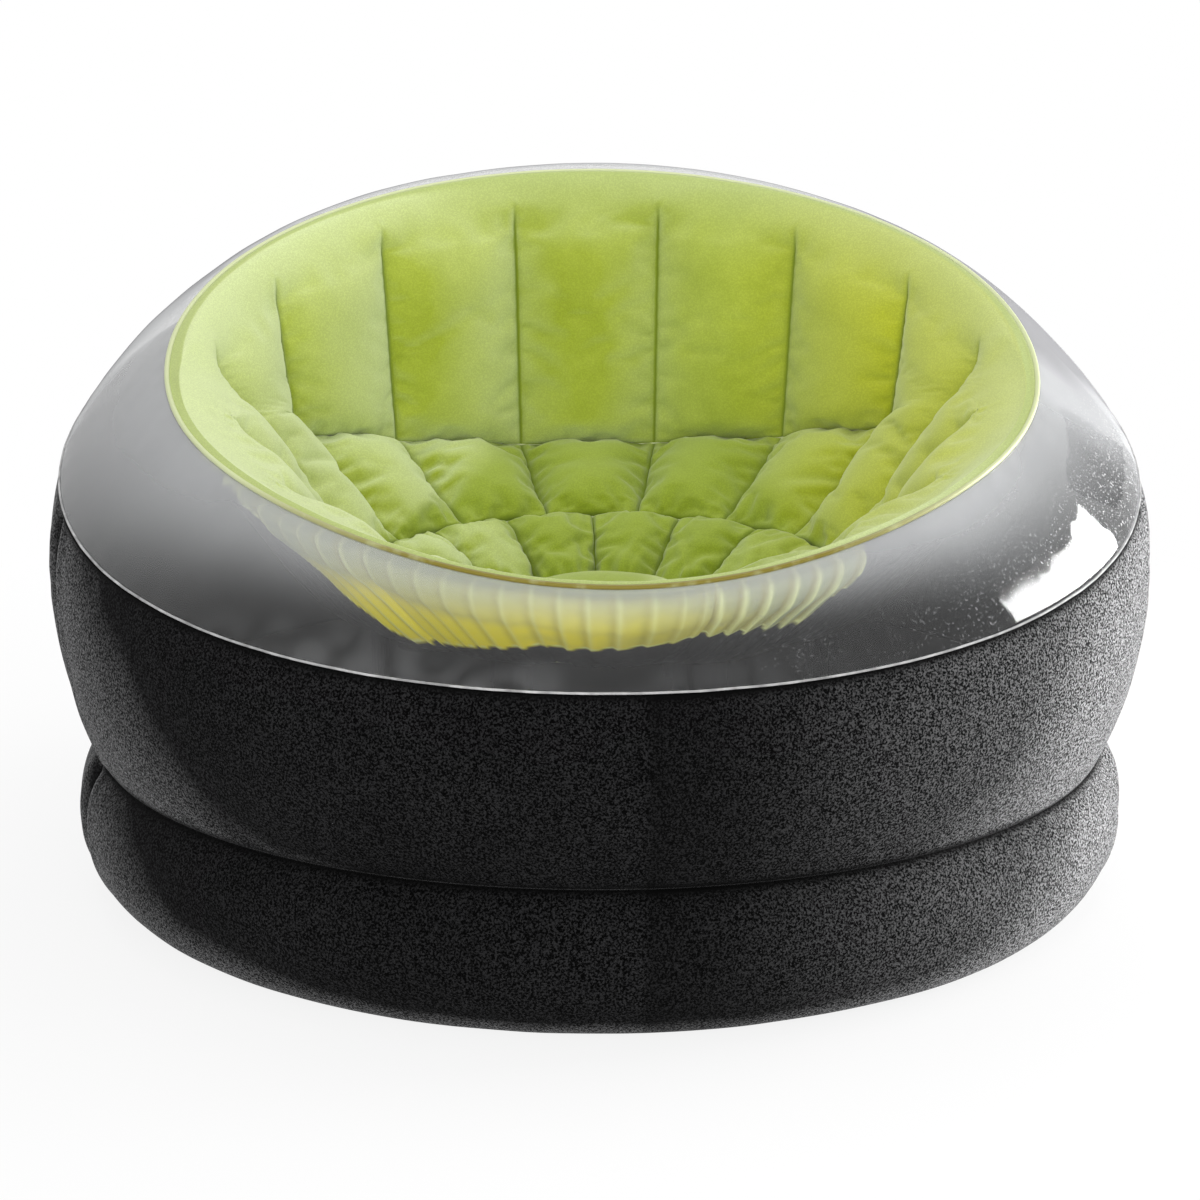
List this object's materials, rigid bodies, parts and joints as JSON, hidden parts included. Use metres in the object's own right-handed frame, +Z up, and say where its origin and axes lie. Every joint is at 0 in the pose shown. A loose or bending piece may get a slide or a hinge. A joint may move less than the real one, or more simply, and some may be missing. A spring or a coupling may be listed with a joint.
{
  "type": "inflatable chair",
  "caption": "Round inflatable lounge chair with a channelled bowl seat, clear crown, flocked wall and base ring, and a capped air valve.",
  "frame": {"origin": "middle of the underside, on the floor", "axes": "+Z up, the chair faces -Y, +X to the right in the picture"},
  "size_m": [1.1172, 1.0873, 0.6863],
  "materials": {
    "charcoal_flock": "matte",
    "green_flock": "matte",
    "black_vinyl": "matte",
    "grey_vinyl": "satin",
    "pale_green_vinyl": "satin",
    "clear_vinyl": "gloss",
    "white_weld": "satin",
    "green_weld": "satin",
    "valve_plastic": "satin",
    "valve_membrane": "satin"
  },
  "bodies": {
    "chair": {"back_wall": "green_flock", "backing_liner": "pale_green_vinyl", "base_seam_tape_left": "grey_vinyl", "base_seam_tape_right": "grey_vinyl", "base_wall_front": "charcoal_flock", "base_wall_rear": "charcoal_flock", "body_seam_tape_left": "grey_vinyl", "body_seam_tape_right": "grey_vinyl", "body_wall_front": "charcoal_flock", "body_wall_rear": "charcoal_flock", "channel_web_01": "pale_green_vinyl", "channel_web_02": "pale_green_vinyl", "channel_web_03": "pale_green_vinyl", "channel_web_04": "pale_green_vinyl", "channel_web_05": "pale_green_vinyl", "channel_web_06": "pale_green_vinyl", "channel_web_07": "pale_green_vinyl", "channel_web_08": "pale_green_vinyl", "channel_web_09": "pale_green_vinyl", "channel_web_10": "pale_green_vinyl", "channel_web_11": "pale_green_vinyl", "channel_web_12": "pale_green_vinyl", "channel_web_13": "pale_green_vinyl", "channel_web_14": "pale_green_vinyl", "channel_web_15": "pale_green_vinyl", "channel_web_16": "pale_green_vinyl", "crown_seam_bead": "white_weld", "crown_sheet": "clear_vinyl", "floor_sheet": "black_vinyl", "inner_tie_01": "pale_green_vinyl", "inner_tie_02": "pale_green_vinyl", "inner_tie_03": "pale_green_vinyl", "inner_tie_04": "pale_green_vinyl", "outer_tie_01": "pale_green_vinyl", "outer_tie_02": "pale_green_vinyl", "outer_tie_03": "pale_green_vinyl", "outer_tie_04": "pale_green_vinyl", "outer_tie_05": "pale_green_vinyl", "outer_tie_06": "pale_green_vinyl", "outer_tie_07": "pale_green_vinyl", "outer_tie_08": "pale_green_vinyl", "pillow_row": "green_flock", "rim_bead": "green_weld", "seat_middle": "green_flock", "seat_ring": "green_flock", "valve_flange": "valve_plastic", "waist_partition": "grey_vinyl"},
    "collar": {"valve_collar": "valve_plastic"},
    "flap": {"valve_flap": "valve_membrane"},
    "plug": {"valve_plug": "valve_plastic"}
  },
  "joints": [
    {"name": "collar_turn", "type": "hinge", "parent": "chair", "child": "collar", "pos_m": [0, 0.51715, 0.215], "axis": [0, 0.9736, -0.2283], "range_deg": [0, 90]},
    {"name": "flap_swing", "type": "hinge", "parent": "collar", "child": "flap", "pos_m": [0, 0.51439, 0.2291], "axis": [-1, 0, 0], "range_deg": [0, 55]},
    {"name": "plug_swing", "type": "hinge", "parent": "collar", "child": "plug", "pos_m": [0, 0.51675, 0.1927], "axis": [-1, 0, 0], "range_deg": [0, 150]}
  ]
}
